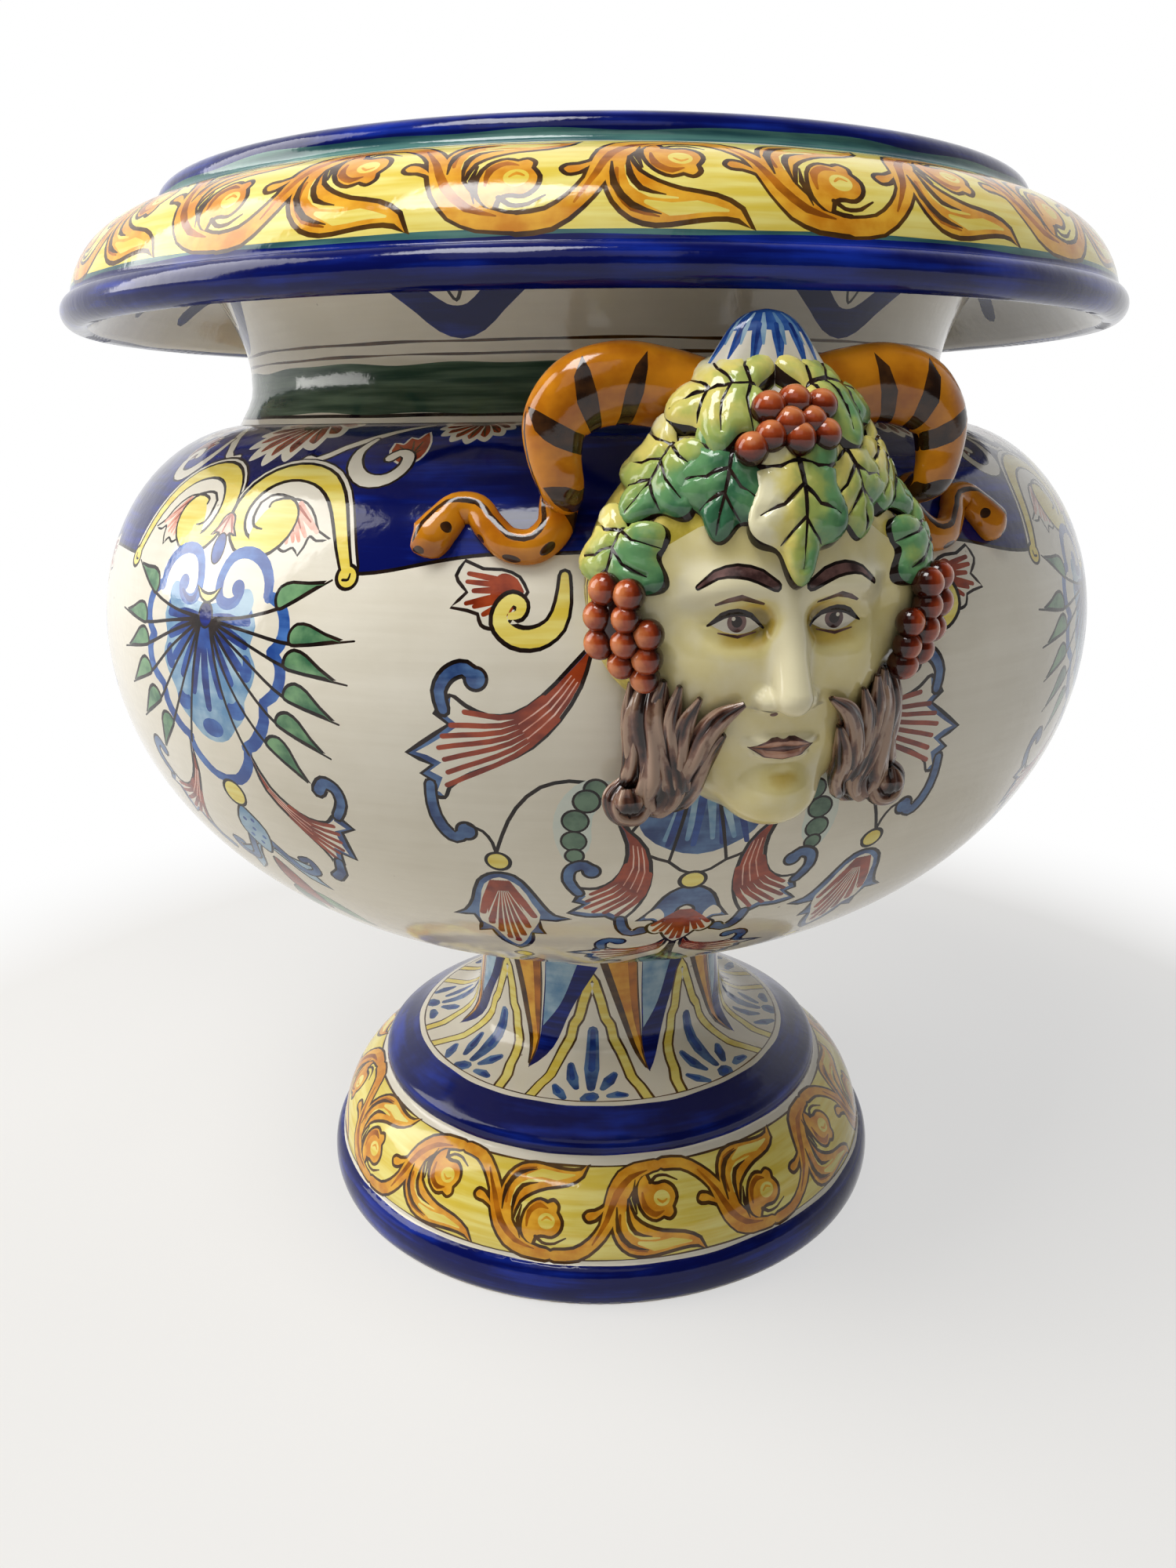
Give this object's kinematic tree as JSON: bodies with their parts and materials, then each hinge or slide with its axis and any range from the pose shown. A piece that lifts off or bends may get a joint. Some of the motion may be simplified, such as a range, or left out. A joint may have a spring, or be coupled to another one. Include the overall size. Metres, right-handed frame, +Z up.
{
  "type": "campana vase",
  "caption": "Tin-glazed pottery vase: round belly, waisted stem on a banded foot, wide sloping rim and bearded masks with vine wreaths and horn handles.",
  "frame": {"origin": "centre of the foot, on the ground", "axes": "+Z up along the vase's axis, masks looking along -Y and +Y"},
  "size_m": [0.3838, 0.4398, 0.3981],
  "materials": {
    "yellow_glaze": "glossy",
    "white_glaze": "glossy",
    "navy_glaze": "glossy",
    "skin_glaze": "glossy",
    "crest_glaze": "glossy",
    "amber_glaze": "glossy",
    "leaf_glaze": "glossy",
    "grape_glaze": "glossy",
    "whisker_glaze": "glossy"
  },
  "bodies": {
    "root": {"pedestal": "yellow_glaze", "bowl": "white_glaze", "collar": "navy_glaze", "front_head": "skin_glaze", "back_head": "skin_glaze", "front_crest": "crest_glaze", "back_crest": "crest_glaze", "front_horn_left": "amber_glaze", "front_horn_right": "amber_glaze", "back_horn_left": "amber_glaze", "back_horn_right": "amber_glaze", "front_leaf_brow_left": "leaf_glaze", "front_leaf_cheek_left": "leaf_glaze", "front_leaf_temple_left": "leaf_glaze", "front_leaf_crown_left": "leaf_glaze", "front_leaf_brow_right": "leaf_glaze", "front_leaf_cheek_right": "leaf_glaze", "front_leaf_temple_right": "leaf_glaze", "front_leaf_crown_right": "leaf_glaze", "front_leaf_front": "leaf_glaze", "back_leaf_brow_left": "leaf_glaze", "back_leaf_cheek_left": "leaf_glaze", "back_leaf_temple_left": "leaf_glaze", "back_leaf_crown_left": "leaf_glaze", "back_leaf_brow_right": "leaf_glaze", "back_leaf_cheek_right": "leaf_glaze", "back_leaf_temple_right": "leaf_glaze", "back_leaf_crown_right": "leaf_glaze", "back_leaf_front": "leaf_glaze", "front_grapes_top": "grape_glaze", "front_grapes_left": "grape_glaze", "front_grapes_right": "grape_glaze", "back_grapes_top": "grape_glaze", "back_grapes_left": "grape_glaze", "back_grapes_right": "grape_glaze", "front_whisker_left": "whisker_glaze", "front_whisker_right": "whisker_glaze", "back_whisker_left": "whisker_glaze", "back_whisker_right": "whisker_glaze"}
  },
  "joints": []
}
